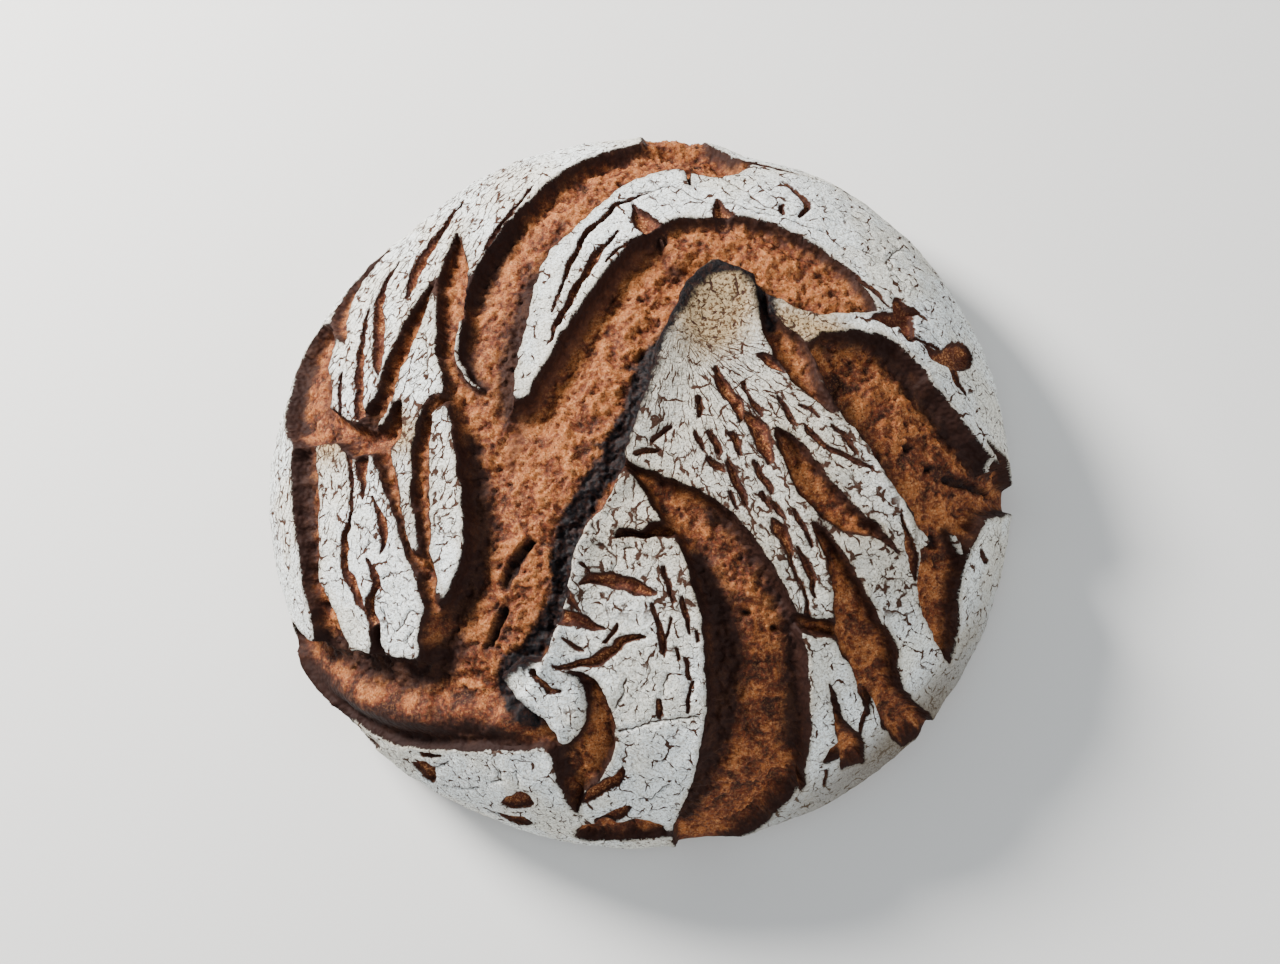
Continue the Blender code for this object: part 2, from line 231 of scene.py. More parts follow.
# Narrow slashes and slits, with brown crumb in them
slits = {
    "upperLeft": [
        [(-54, 96, 0.5), (-58, 84, 1.6), (-62, 74, 2.2), (-65, 62, 2.4), (-65.5, 53, 0.8)],
        [(-74, 71, 0.4), (-77, 60, 1.2), (-76, 50, 2), (-74, 40, 2.2), (-72.5, 30, 1.6), (-71.5, 24, 0.4)],
        [(-80.5, 52, 0.4), (-80.5, 42, 1), (-80, 30, 1.5), (-78.5, 20, 1.8), (-77, 12, 2)],
        [(-87, 28, 0.4), (-86.5, 20, 0.7), (-85, 12, 0.5)],
        [(-25.6, 93.5, 0.3), (-29, 86, 0.7), (-32, 80.5, 1), (-34.5, 75.8, 1), (-37.5, 70.5, 0.8),
         (-39.5, 67, 0.6)]],
    "left": [
        [(-83, 4, 1.7), (-80.5, -1, 1.2), (-80, -10, 0.7), (-80, -21, 0.8), (-82.6, -26, 1.2),
         (-83.2, -31.5, 1.6), (-83.7, -38, 1.6), (-81, -42, 2.2), (-79.5, -46.5, 2), (-77.5, -51, 0.5)],
        [(-75.3, -4.3, 2.5), (-75.5, -9.5, 1.5), (-75.3, -15.3, 0.7)],
        [(-71.7, -16, 0.3), (-69, -21, 1), (-67.5, -26, 1.5), (-67.2, -29.6, 1.2), (-69, -33.5, 0.3)],
        [(-74.2, -35.5, 0.4), (-72, -39.3, 1.2), (-71.7, -43, 1.5), (-74, -47, 1.3), (-74.8, -51.7, 2.2),
         (-74, -56.5, 2.2), (-74, -62, 2.2), (-74.5, -65.5, 2.5)]],
    "topPlate": [
        [(14.5, 84.5, 0.3), (10, 82, 0.6), (5, 79.7, 0.9), (0.9, 74, 0.9), (-3.4, 69, 1), (-5.9, 63.5, 1),
         (-8.4, 57, 0.9), (-10.2, 51.7, 0.6), (-11.7, 46.5, 0.4), (-13.8, 39.5, 0.2)],
        [(6.3, 68, 0.3), (3, 63.5, 0.8), (0, 59.2, 1.2), (-2.6, 53.8, 1.3), (-5.4, 48.7, 1.3),
         (-7.8, 43.7, 1.3), (-10.3, 38.8, 1.2), (-12, 35.5, 1), (-13, 31.3, 0.5), (-15, 28, 0.2)],
        [(17, 66.5, 0.5), (10.8, 62.8, 0.6), (6.3, 60.4, 0.6), (3.3, 56, 0.3)],
        [(10.3, 79.5, 0.3), (12.5, 75, 1.8), (15.5, 70.5, 3.6), (18.5, 68.5, 3.5)],
        [(38.5, 81.5, 0.7), (39, 77, 2), (40.5, 73, 3)]],
    "rightPlate": [
        [(59.7, 93.5, 0.3), (63.6, 88, 1), (65.8, 84.5, 1.4), (67.2, 80.8, 1.4), (64.3, 74.5, 0.5)],
        [(59, 79.5, 0.8), (58.5, 75.5, 1)],
        [(80, 52.5, 0.5), (84, 48.8, 1), (87.6, 45, 0.9), (90.8, 41.5, 0.4)],
        [(86, 36.5, 1), (90, 36.5, 2.5), (94, 37, 3)],
        [(94.5, 45, 1), (95.5, 40, 3), (96, 35, 3), (97, 31, 1.5)],
        [(96, 41, 2), (101, 41, 1), (104, 40, 0.4)],
        [(97, 31, 0.5), (104, 30, 0.6), (108, 30, 0.4)],
        [(102.5, 28.7, 0.6), (106, 27, 1.8), (111, 27, 3.2), (116.5, 29.5, 5.2), (121, 32.5, 4)],
        [(113, 24, 2), (115, 18.5, 1.2), (117.5, 15.5, 0.4)],
        [(92, -27, 0.4), (93.3, -33, 0.9), (95, -38, 1.5), (96.3, -42, 1.2), (97, -46.5, 0.4)],
        [(125, -37, 0.8), (129, -40, 1.2)]],
    "fan": [
        [(37, 17.2, 0.8), (38.3, 13, 1.6), (40.4, 9.3, 1.7), (42.8, 6, 1.8), (44, 2.3, 1.2),
         (43.4, 0.5, 0.4)],
        [(45.3, 2.8, 0.8), (47.8, 0.4, 2.3), (49.8, -3, 2.8), (51, -6.9, 2.4), (51.8, -10.7, 1.2),
         (52, -12, 0.3)],
        [(31.8, 8, 0.8), (32.2, 5, 1), (31.5, 2, 0.8)],
        [(30.5, -2.5, 0.4), (31.7, -5.5, 0.8), (33, -8, 0.3)],
        [(35, -2.5, 0.7), (36.3, -6, 1.1), (37.5, -9, 0.8)],
        [(35, -11, 0.8), (37, -13.2, 1.2), (38.7, -15, 0.6)],
        [(40.2, -12, 0.7), (41.9, -16, 1.3), (43.9, -20.7, 1), (46, -24.5, 0.5)],
        [(40.8, -2.7, 0.8), (42.3, -5.3, 1.1), (44, -9.3, 0.4)],
        [(47.3, -11.7, 0.4), (49.7, -15.2, 1), (52.2, -20, 1), (53, -21, 0.3)],
        [(50, 21.5, 0.7), (52.5, 20.5, 1.6), (55, 18, 1.4), (56.6, 15.8, 0.4)],
        [(55.2, 8.7, 0.4), (57.3, 4.3, 1), (59, 1, 0.7), (60, -1, 0.3)],
        [(45, 12.8, 0.5), (46.7, 8.3, 0.6), (48.7, 5.2, 0.9), (50.3, 2.7, 0.3)],
        [(63.2, -0.8, 0.5), (65.3, -4, 1), (68.7, -7, 0.9), (72.8, -8.7, 0.8), (79, -11.7, 0.6),
         (82.5, -13, 0.3)],
        [(62, 5.9, 0.4), (67.5, 2, 0.4)],
        [(71, -0.5, 0.3), (74.6, -3.5, 0.7), (77.2, -7, 0.7), (79, -10, 0.3)],
        [(53, -29.5, 0.8), (55.3, -32.7, 1.8), (57, -36.2, 1.7), (58.2, -41.2, 0.7), (60.2, -46.7, 0.4),
         (62, -49.7, 0.4), (63.2, -54, 0.5), (63.4, -58, 0.9)],
        [(60.4, -37.3, 0.5), (62.4, -41.2, 1), (64, -45.5, 1.1), (65, -49.7, 0.8), (66, -52.3, 0.3)],
        [(59.2, -26.3, 0.5), (61.2, -29.3, 0.8), (62.8, -33, 0.6), (64.3, -37, 0.3)],
        [(53.4, -24.6, 0.8), (55, -26.7, 0.9), (57, -28.8, 0.4)],
        [(40.3, -20.8, 0.5), (43.2, -25.8, 0.5)],
        [(44, -20.8, 0.6), (46, -24.6, 0.6)],
        [(49.7, -21.6, 0.7), (52.6, -25.5, 0.7)],
        [(13.8, -9.2, 0.7), (17.5, -8.4, 0.9), (20, -8, 0.5)],
        [(18.3, -5, 0.6), (21.6, -2, 0.8), (24, -1, 0.4)]],
    "bottomPlate": [
        [(-3.5, -47.8, 0.4), (0, -46.2, 1.5), (4, -46.8, 2.2), (9, -48, 2), (14, -49.8, 1.8),
         (19, -51.2, 0.4)],
        [(-13, -56.3, 1.5), (-9, -57.5, 2), (-5, -58.5, 1.9), (-1.8, -60.3, 1.5), (0.5, -60.9, 1),
         (2.5, -61.5, 0.3)],
        [(-13.5, -72, 0.4), (-10, -72.7, 0.7), (-5.7, -71.3, 1.2), (-1.7, -71.7, 1.6), (2, -69.5, 1.8),
         (5.5, -67.8, 1.2), (8, -65.5, 1.5), (11.5, -64.7, 1), (15.5, -64.3, 0.3)],
        [(3, -65.7, 0.6), (5.7, -62.3, 0.7), (7, -60.2, 0.3)],
        [(-10, -64, 0.4), (-7.5, -66, 0.7), (-4, -67.8, 0.3)],
        [(-3.2, -41.7, 0.7), (-1.2, -44.6, 0.4)],
        [(-8, -49, 0.8), (-6.7, -52.4, 0.9), (-5, -55.4, 0.5)],
        [(17.4, -54.4, 0.4), (18.4, -58.2, 0.6), (19.3, -62.5, 0.9), (20.2, -67, 1.2), (20.2, -69.5, 0.3)],
        [(22.9, -58.6, 0.3), (21.7, -63.3, 0.4), (20.3, -67.5, 0.9)],
        [(26.2, -52.2, 0.5), (27, -56, 1.1), (28, -59, 0.7), (28.2, -63, 0.4)],
        [(20.8, -43.3, 0.5), (22.2, -48, 0.7), (23.1, -50.5, 0.5), (24, -54, 0.4)],
        [(24.4, -68, 0.6), (25, -71, 0.6)],
        [(27.1, -71, 0.6), (27.6, -77, 0.6)],
        [(30.6, -62.3, 0.4), (30.5, -65.8, 0.4)],
        [(17.7, -83.7, 0.8), (18.4, -87, 1), (18, -89.3, 0.5)],
        [(28.8, -78, 0.5), (27.5, -83, 0.6), (26.7, -87.3, 0.5)],
        [(-9, -117.5, 1.6), (-4.8, -114, 2), (-0.2, -111.2, 2), (3, -109, 2), (5, -107, 1)],
        [(-6, -129, 2.4), (0, -124.5, 2), (5, -121.5, 1)]],
    "lowerLeftPlate": [
        [(-71.5, -107, 2.5), (-68.5, -108, 4), (-70, -112, 3)],
        [(-66, -101, 1.2), (-58, -101, 0.3)],
        [(-39.5, -121, 1.5), (-35, -119.5, 3), (-31.5, -118, 3.3)],
        [(-47, -129, 1), (-41, -131.5, 3.5), (-36, -131, 3)],
        [(-52, -127.5, 0.8), (-49.5, -129.5, 1)],
        [(-20, -73, 1), (-17, -77, 1.2), (-15.5, -79.5, 1.2), (-12.5, -79.5, 0.6)]],
    "lowerRightPlate": [
        [(72.5, -112, 0.6), (74, -121, 0.6)],
        [(84.5, -84, 1.3), (83.5, -90, 1), (82.5, -96, 0.7), (82, -100, 0.4)]],
}

# Hairline cracks in the flour that are long enough to place one by one
cracks = [
    [(10, 84.5), (14.5, 85), (20.5, 87.5), (25, 87.3), (28, 85), (32, 83), (36.5, 80.8), (43.6, 79.5),
     (49.5, 76), (57, 74.3), (64.5, 71.5), (73, 69.5)],
    [(40, 93.3), (43.7, 89.5), (47.5, 86), (50.5, 81.3), (54, 78.3), (57.5, 77)],
    [(82.5, 64.8), (89.8, 62.7), (92.6, 60.6), (95.5, 56), (98.3, 53.5)],
    [(92.6, 60.6), (98.5, 69.5), (103, 71.5), (107, 70.5)],
    [(101.5, 36.5), (105.5, 36.3)], [(-88, 0), (-85.5, -6)], [(-76, -41), (-73, -42.5)],
    [(-71, -44), (-66.5, -47.5)],
    [(-55, -54), (-60, -52.5), (-62.5, -56), (-66, -58.5)], [(-58.5, -58), (-63, -62.5)],
    [(-70, -51.5), (-69, -59.5)], [(-69, -41.5), (-65.5, -41)], [(-72.3, -30), (-75, -31.5)],
    [(-56.2, 36), (-54.6, 30), (-53, 19)], [(-66, -108), (-56, -103.5)],
    [(-64, -116), (-55, -116), (-48, -114)],
    [(-42, -111.5), (-37, -109.5)], [(-37, -106), (-37, -110)], [(-31, -106), (-31.5, -113)],
    [(0.2, -29.3), (1.5, -33)], [(3.4, -23), (6, -25.3)],
    [(1, -36.2), (3.2, -36.6), (5.3, -38.8), (7.4, -41.4), (5.6, -44.5)], [(13.4, -28.7), (16.3, -30)],
    [(9.6, -37.8), (12.3, -37.6)], [(5.3, -93.2), (10.8, -92), (15.5, -90.6), (30, -89)],
    [(8.4, -76.5), (7.2, -81.5), (4.6, -85.5)], [(8.7, -117.5), (13.3, -117.3), (15.2, -115), (19.6, -112)],
    [(18, -103.5), (19.7, -101)], [(21.3, -76), (20.1, -79), (19.7, -82)], [(-13.3, -124), (-13.5, -132)],
]

# Burnt edges: the standing ear of the tongue is black, the edges of the other tears dark brown, partly burnt
# and partly painted shade on the walls that face away from the light
burns = {
    "ear": [
        [(45, 50.8, 3.1), (40, 51.2, 3.2), (35.5, 50.2, 3.2), (31.5, 46.6, 3), (28.4, 41.6, 2.8),
         (25.3, 36.2, 2.7), (21.5, 30, 3.2), (18, 24.5, 4.2), (16, 18.5, 5), (14, 11.5, 4.8),
         (11.5, 5, 4.5), (8, -1.5, 5), (6, -8, 5), (0.5, -14.5, 4.5), (-3.5, -21, 4.5), (-8, -28, 4.8),
         (-10, -36, 5), (-11.5, -44, 4.2), (-12.5, -52, 3.8), (-17, -60, 4.5), (-22.5, -68, 4.2),
         (-30.5, -72.5, 3.4), (-32.5, -79, 3.6), (-28, -85, 3.6), (-22, -91, 2.8)],
        [(16, 22, 2), (11.5, 21.5, 1.6), (8.5, 21.2, 0.5)],
        [(4, -4, 2.5), (0, -3.5, 1), (-1, -3.2, 0.4)],
        [(45, 50.8, 3.1), (49, 48.8, 3.2), (51.6, 45.6, 3.4), (52.4, 41.2, 3.2), (53, 36.5, 2.8),
         (53.5, 31, 1.6)],
    ],
    # Partly burnt crust, partly painted shade where a tear wall faces away from the light or lies under a
    # plate
    "edgesBurntAndShaded": [
        [(55, 43.5, 1.6), (62, 40.3, 1.5), (70, 36.7, 1.6)],
        [(78, 30, 2), (86, 30.5, 2.2), (92, 25.5, 3), (98, 18.5, 3.2), (104, 13, 3.2), (110, 7, 3.4),
         (116, 1.5, 3.5), (122, -3, 3.5), (128, -7, 3.5)],
        [(72.5, 7.5, 2), (77, 2, 2.5), (82, -5, 2.8), (86.5, -12, 3), (91, -20, 3), (95, -27, 2.5)],
        [(31, -40, 3), (35, -50, 4.5), (38, -60, 5.5), (39, -70, 6), (38, -80, 6), (37.5, -90, 5.5),
         (35, -100, 5.5), (32, -110, 4.5), (29, -120, 4.5), (25, -130, 5), (22, -140, 6)],
        [(36, -27, 2.5), (42, -31.5, 2.7), (47.5, -38, 2.7), (52, -46, 3), (56, -54, 3), (59.5, -62, 2.5),
         (60.5, -72, 3.2), (61, -82, 3.5), (61.5, -92, 3.5), (61, -102, 3.5)],
        [(-124, -71, 6), (-110, -81, 6.5), (-95, -88, 7), (-80, -91.5, 7), (-68, -94.5, 7), (-55, -95.5, 7),
         (-42, -95, 6), (-30, -96, 3)],
        [(-104, -63, 6), (-92, -67.5, 6), (-82, -70.5, 6), (-72, -71, 6.5), (-64, -73, 6.5), (-55, -71, 6),
         (-49, -64, 4.5)],
        [(-40, 0, 2.5), (-38.5, -10, 3), (-37, -20, 3.5), (-36.5, -30, 3.5), (-38.5, -40, 3.5), (-42, -48, 4),
         (-46, -54, 4.5)],
        [(10, 91, 1.8), (1, 85, 2), (-7.5, 73, 2.4), (-16, 64, 3.2), (-21.5, 54, 4.2), (-24.3, 46, 4.8),
         (-26, 38, 5), (-27.5, 28, 4.8), (-28, 18, 4.2), (-28, 8, 3)],
        [(-30, 77, 2), (-36, 67, 3), (-41, 57, 3), (-43, 50, 3.5)],
        [(-43.5, 38, 1.6), (-43.2, 30, 1.8), (-41, 23, 1.6), (-37, 17, 1)],
        [(-115, 42, 2), (-117, 33, 2), (-116, 22, 2), (-112, 14, 1.5)],
        [(-107, 5, 3), (-106, -5, 3.2), (-104.5, -15, 3), (-104, -25, 2.5), (-102.5, -35, 2)],
        [(-9.5, -88, 2.5), (-13, -97, 3), (-15, -104, 2.8), (-14.5, -110, 2.5)],
        [(25.3, 56.3, 1.8), (24.5, 56, 1.5)],
        [(-72.5, 8.5, 3), (-74, 7.5, 2)],
        [(-65, 15, 1.6), (-66, 14, 1.2)],
    ],
}

# Dark brown edges that are partly toasted, not burnt, and partly painted shade on the tear walls under the
# plates
brownedAndShaded = [
    [(17, 64, 3), (9, 58.5, 3), (3, 51, 3), (-2, 42.5, 3), (-6.5, 34, 2.8), (-12, 25, 2.5), (-17, 17, 2.2),
     (-21, 9, 2.2), (-25, 1, 2.5), (-27, -8, 1.8)],
    [(-96, 45, 0.5), (-97, 36, 2.2), (-98, 26, 2.6), (-97, 17, 1.6)],
]

# Bands whose whole crumb is baked darker
darkBands = [
    [(30, -30, 4), (38, -42, 7), (45, -58, 9), (48, -75, 11), (48.5, -92, 12), (47, -112, 14), (42, -140, 15),
     (36, -162, 15)],
    [(104, -8, 10), (120, -12, 10), (140, -14, 8)], [(107, -32, 7), (108, -55, 5)],
    [(100, -94, 5), (116, -108, 6)],
    [(-99, 46, 8), (-98, 30, 12), (-95, 15, 9), (-80, 6, 6)], [(-14, -139, 8), (0, -135, 10), (12, -135, 8)],
    [(75, 16, 5), (84, 9, 5), (90, -4, 5)], [(78, -60, 5), (86, -76, 5)],
]

# Deep pits, painted black: painted shade in the holes
pits = [
    [(-20.5, -33.5, 1.4), (-24.5, -37.5, 2.2), (-27.7, -42, 2.4), (-29.8, -47, 1.6)],
    [(-30.8, -55, 1.9), (-33.4, -59.7, 1.8), (-35.5, -64, 1.5), (-37.5, -66, 0.9)],
    [(113, -13, 2), (125, -14, 2), (140, -14.5, 2), (150, -15, 1.5)],
    [(105, -10.5, 1.2), (106, -10.5, 1)],
    [(107.5, -34.8, 2.5), (108.5, -35, 2)],
    [(97, -4, 1.5), (98, -4.5, 1.2)],
    [(45, -57.3, 1.2), (45.6, -57.6, 1)],
    [(54, -62.3, 1.2), (54.6, -62.6, 1)],
]

# The tongue's toasted top and its raised ear
toasted = [[(41, 50, 6), (38, 42, 9), (36, 34, 8)], [(-90, 4, 2.2), (-88, 3, 1)], [(-61, 3, 2), (-60, 2, 1)],
           [(58.5, 34.5, 1.5), (65, 31.5, 2.5), (71, 31, 1)]]
ear = [
    (47.5, 50.3, 0), (34.8, 50, 0), (27, 39.8, 0), (22.5, 26, 0), (15.8, 6.5, 0), (9.5, -10.8, 0),
    (0.8, -19.8, 0), (-6.5, -40.6, 0), (-12.8, -57.5, 0), (-19.5, -70.5, 0)]

# Torn strands: in the fan they run out from its centre, on the left all one way. A pair is where they fade.
fan = {"centre": (26, 30), "turn": 42, "stretch": 0.25, "bottom": (-70, -40), "top": (18, 34),
       "leftLean": -0.25, "left": (2, 10), "rightLean": 0.5, "right": (62, 92)}
leftGrain = {"turn": math.radians(68), "stretch": 0.3, "right": (-40, -20), "bottom": (-45, -10), "end": -10}


def smoothStep(value, low, high):
    share = np.clip((value - low) / (high - low), 0, 1)
    return share * share * (3 - 2 * share)


def mixed(first, second, share):
    return first + (second - first) * share


# The lower of two distances, with the corner between them rounded off
def softMinimum(first, second, corner):
    share = np.clip(0.5 + 0.5 * (second - first) / corner, 0, 1)
    return mixed(second, first, share) - corner * share * (1 - share)


# A Catmull-Rom curve through a stroke's points, as close points joined by straight lines
def smoothPath(stroke, step):
    points = np.array([point if len(point) == 3 else (*point, 0) for point in stroke], dtype=float)
    ends = np.vstack([2 * points[0] - points[1], points, 2 * points[-1] - points[-2]])
    path = []
    for before, start, end, after in zip(ends, ends[1:], ends[2:], ends[3:]):
        count = max(2, math.ceil(math.dist(start[:2], end[:2]) / step))
        for share in np.arange(count) / count:
            path.append(0.5 * (2 * start + (end - before) * share
                               + (2 * before - 5 * start + 4 * end - after) * share ** 2
                               + (3 * start - before - 3 * end + after) * share ** 3))
    path = np.vstack([path, points[-1]])
    path[:, 2] = np.maximum(path[:, 2], 0)
    return path


# Distance in millimetres from each point to the nearest of the strokes, below 0 inside one
def distanceTo(right, up, strokes, reach=12.0, step=1.5):
    nearest = np.full_like(right, reach)
    for stroke in strokes:
        path = smoothPath(stroke, step)
        margin = path[:, 2].max() + reach
        low = path[:, :2].min(axis=0) - margin
        high = path[:, :2].max(axis=0) + margin
        near = np.nonzero((right > low[0]) & (right < high[0]) & (up > low[1]) & (up < high[1]))[0]
        nearRight = right[near]
        nearUp = up[near]
        best = nearest[near]
        for start, end in zip(path, path[1:]):
            along = end[:2] - start[:2]
            toRight = nearRight - start[0]
            toUp = nearUp - start[1]
            share = np.clip((toRight * along[0] + toUp * along[1]) / max(along @ along, 1e-9), 0, 1)
            gap = np.hypot(toRight - share * along[0], toUp - share * along[1])
            best = np.minimum(best, gap - start[2] - share * (end[2] - start[2]))
        nearest[near] = best
    return nearest


# Smooth random lumps on the chart, about -1 to 1, of one size and with a seed of their own
def lumps(right, up, size, seed):
    cells = 256
    far = 1000                       # cells off the chart, so that none has a number below 0
    turns = np.random.default_rng(seed).random((cells, cells)) * 2 * math.pi
    across = right / size + far
    along = up / size + far
    column = np.floor(across).astype(int)
    row = np.floor(along).astype(int)
    across = across - column
    along = along - row

    def corner(stepRight, stepUp):
        turn = turns[(column + stepRight) % cells, (row + stepUp) % cells]
        return np.cos(turn) * (across - stepRight) + np.sin(turn) * (along - stepUp)

    easeAcross = across ** 3 * (across * (across * 6 - 15) + 10)
    easeAlong = along ** 3 * (along * (along * 6 - 15) + 10)
    lower = mixed(corner(0, 0), corner(1, 0), easeAcross)
    upper = mixed(corner(0, 1), corner(1, 1), easeAcross)
    return mixed(lower, upper, easeAlong) * 1.6


def lumpStack(right, up, layers, seed):
    return sum(height * lumps(right, up, size, seed + index) for index, (size, height) in enumerate(layers))


# Crust length from the crown, radius and height, from the crown to the foot
def domeProfile(rounds=400):
    turn = np.linspace(0, math.pi / 2, rounds)
    radius = dome["widestRadius"] * np.sin(turn) ** (2 / dome["power"])
    rise = dome["crownHeight"] - dome["widestHeight"]
    height = dome["widestHeight"] + rise * np.cos(turn) ** (2 / dome["power"])
    under = np.linspace(0, math.pi / 2, rounds // 4)[1:]
    turnedIn = dome["widestRadius"] - dome["footRadius"]
    radius = np.append(radius, dome["footRadius"] + turnedIn * np.cos(under))
    height = np.append(height, dome["widestHeight"] * (1 - np.sin(under)))
    length = np.append(0, np.cumsum(np.hypot(np.diff(radius), np.diff(height))))
    return length, radius, height


# A rounded ridge of one height and spread along a path
def ridgeAlong(right, up, path, height, spread):
    return height * np.exp(-(distanceTo(right, up, [path], 30.0, 2.5) / spread) ** 2)


# Everything the crust is made from at each point of the chart: its relief and what its finish reads
def crustFields(right, up):
    raggedRight = right + lumpStack(right, up, relief["rags"], 20)
    raggedUp = up + lumpStack(right, up, relief["rags"], 30)
    edge = np.full_like(right, relief["edgeReach"])
    depth = np.zeros_like(right)
    for tearDepth, strokes in tears.values():
        beyond = distanceTo(raggedRight, raggedUp, strokes, relief["edgeReach"])
        inside = np.maximum(-beyond, 0)
        floor = 1 - relief["floorRise"] * smoothStep(inside, relief["floorRiseFrom"], relief["floorRiseTo"])
        depth = np.maximum(depth, tearDepth * (1 - np.exp(-inside / relief["wallRun"])) * floor)
        edge = softMinimum(edge, beyond, relief["corner"])
    standing = distanceTo(raggedRight, raggedUp, islands, reach=4.0)
    depth *= mixed(relief["underIsland"], 1, smoothStep(standing, *relief["islandSide"]))
    edge = np.maximum(edge, -standing)
    strip = distanceTo(raggedRight, raggedUp, rimStrip, reach=4.0)
    depth *= smoothStep(strip, *relief["stripSide"])
    edge = np.maximum(edge, -strip)
    print("tears placed")

    allSlits = [stroke for group in slits.values() for stroke in group]
    slit = distanceTo(raggedRight, raggedUp, allSlits, reach=4.0, step=1.0)
    slitDepth = relief["slitDepth"] * (1 - np.exp(-np.maximum(0.1 - slit, 0) / relief["slitRun"]))
    crackRight = right + lumpStack(right, up, relief["crackWander"], 41)
    crackUp = up + lumpStack(right, up, relief["crackWander"], 42)
    crack = distanceTo(crackRight, crackUp, cracks, reach=3.0)
    crackDepth = relief["crackDepth"] * np.exp(-(np.maximum(crack, 0) / relief["crackWidth"]) ** 2)
    pit = distanceTo(raggedRight, raggedUp, pits, reach=4.0)
    pitDepth = relief["pitDepth"] * (1 - smoothStep(pit, *relief["pitSide"]))

    inTear = smoothStep(-edge, *relief["tearSide"])
    onPlate = smoothStep(edge, -relief["wallRun"], relief["wallRun"])
    lip = relief["lipHeight"] * np.exp(-np.maximum(edge, 0) / relief["lipSpread"])
    earRise = ridgeAlong(right, up, ear, relief["earHeight"], relief["earSpread"])
    flat = np.zeros_like(right)
    swellRise = flat.copy()
    browner = flat.copy()
    for height, spread, brownness, path in swells.values():
        swell = ridgeAlong(right, up, path, height, spread)
        swellRise += swell
        browner += swell * brownness
    crumb = lumpStack(right, up, relief["crumbs"], 50)
    crumb -= relief["poreDepth"] * smoothStep(lumps(right, up, relief["poreSize"], 57), *relief["pores"])
    skin = lumpStack(right, up, relief["crust"], 60)
    inSlit = smoothStep(-slit, *relief["slitSide"])
    skin = mixed(skin, lumpStack(right, up, relief["slitCrumbs"], 70), inSlit)
    rise = onPlate * (lip + earRise) - depth - onPlate * (slitDepth + crackDepth) - inTear * pitDepth
    rise += inTear * (crumb * (1 - relief["swellSmoothing"] * browner) + swellRise) + (1 - inTear) * skin
    darkBand = 1 - smoothStep(distanceTo(right, up, darkBands), *relief["darkBandSide"])
    browner += relief["darkBandShare"] * darkBand

    centreRight, centreUp = fan["centre"]
    fanTurn = np.arctan2(up - centreUp, right - centreRight)
    fanReach = np.hypot(up - centreUp, right - centreRight)
    inFan = smoothStep(up, *fan["bottom"]) * (1 - smoothStep(up, *fan["top"]))
    inFan *= smoothStep(right + fan["leftLean"] * up, *fan["left"])
    inFan *= 1 - smoothStep(right + fan["rightLean"] * up, *fan["right"])
    inLeft = (1 - smoothStep(right, *leftGrain["right"])) * smoothStep(up, *leftGrain["bottom"])
    across = right * math.sin(leftGrain["turn"]) - up * math.cos(leftGrain["turn"])
    along = right * math.cos(leftGrain["turn"]) + up * math.sin(leftGrain["turn"])
    onLeft = right < leftGrain["end"]
    strandAcross = np.where(onLeft, across, fanTurn * fan["turn"])
    strandAlong = np.where(onLeft, along * leftGrain["stretch"], fanReach * fan["stretch"])
    fields = {
        "edge": edge,
        "slit": slit,
        "crack": crack,
        # painted shade: where the deep pits are painted black
        "pit": 1 - smoothStep(pit, -0.8, 1.0),
        "char": distanceTo(raggedRight, raggedUp, burns["ear"], reach=6.0),
        # burnt edges and painted shade
        "burnAndShade": distanceTo(raggedRight, raggedUp, burns["edgesBurntAndShaded"], reach=8.0),
        # browning and painted shade on shaded tear walls
        "brownAndShade": distanceTo(raggedRight, raggedUp, brownedAndShaded, reach=8.0),
        "toast": 1 - smoothStep(distanceTo(right, up, toasted), -2.0, 11.0),
        "inFan": inFan,
        "inStrands": np.maximum(inFan, inLeft),
        # the crumb's height and browning; the finish darkens the low crumb with it as painted shade
        "crumb": crumb * (1 - 0.5 * np.clip(browner, 0, 1)) - browner,
    }
    patterns = {
        "chart": np.column_stack([right, up, flat]),
        "strands": np.column_stack([strandAcross, strandAlong, flat]),
    }
    return rise, fields, patterns


# The height of the dome's slow waves, the same as in the solid
def slowWaves(right, up):
    length = relief["waveLength"]
    return np.array([noise.noise((a, b, 0)) for a, b in zip(right / length, up / length)])


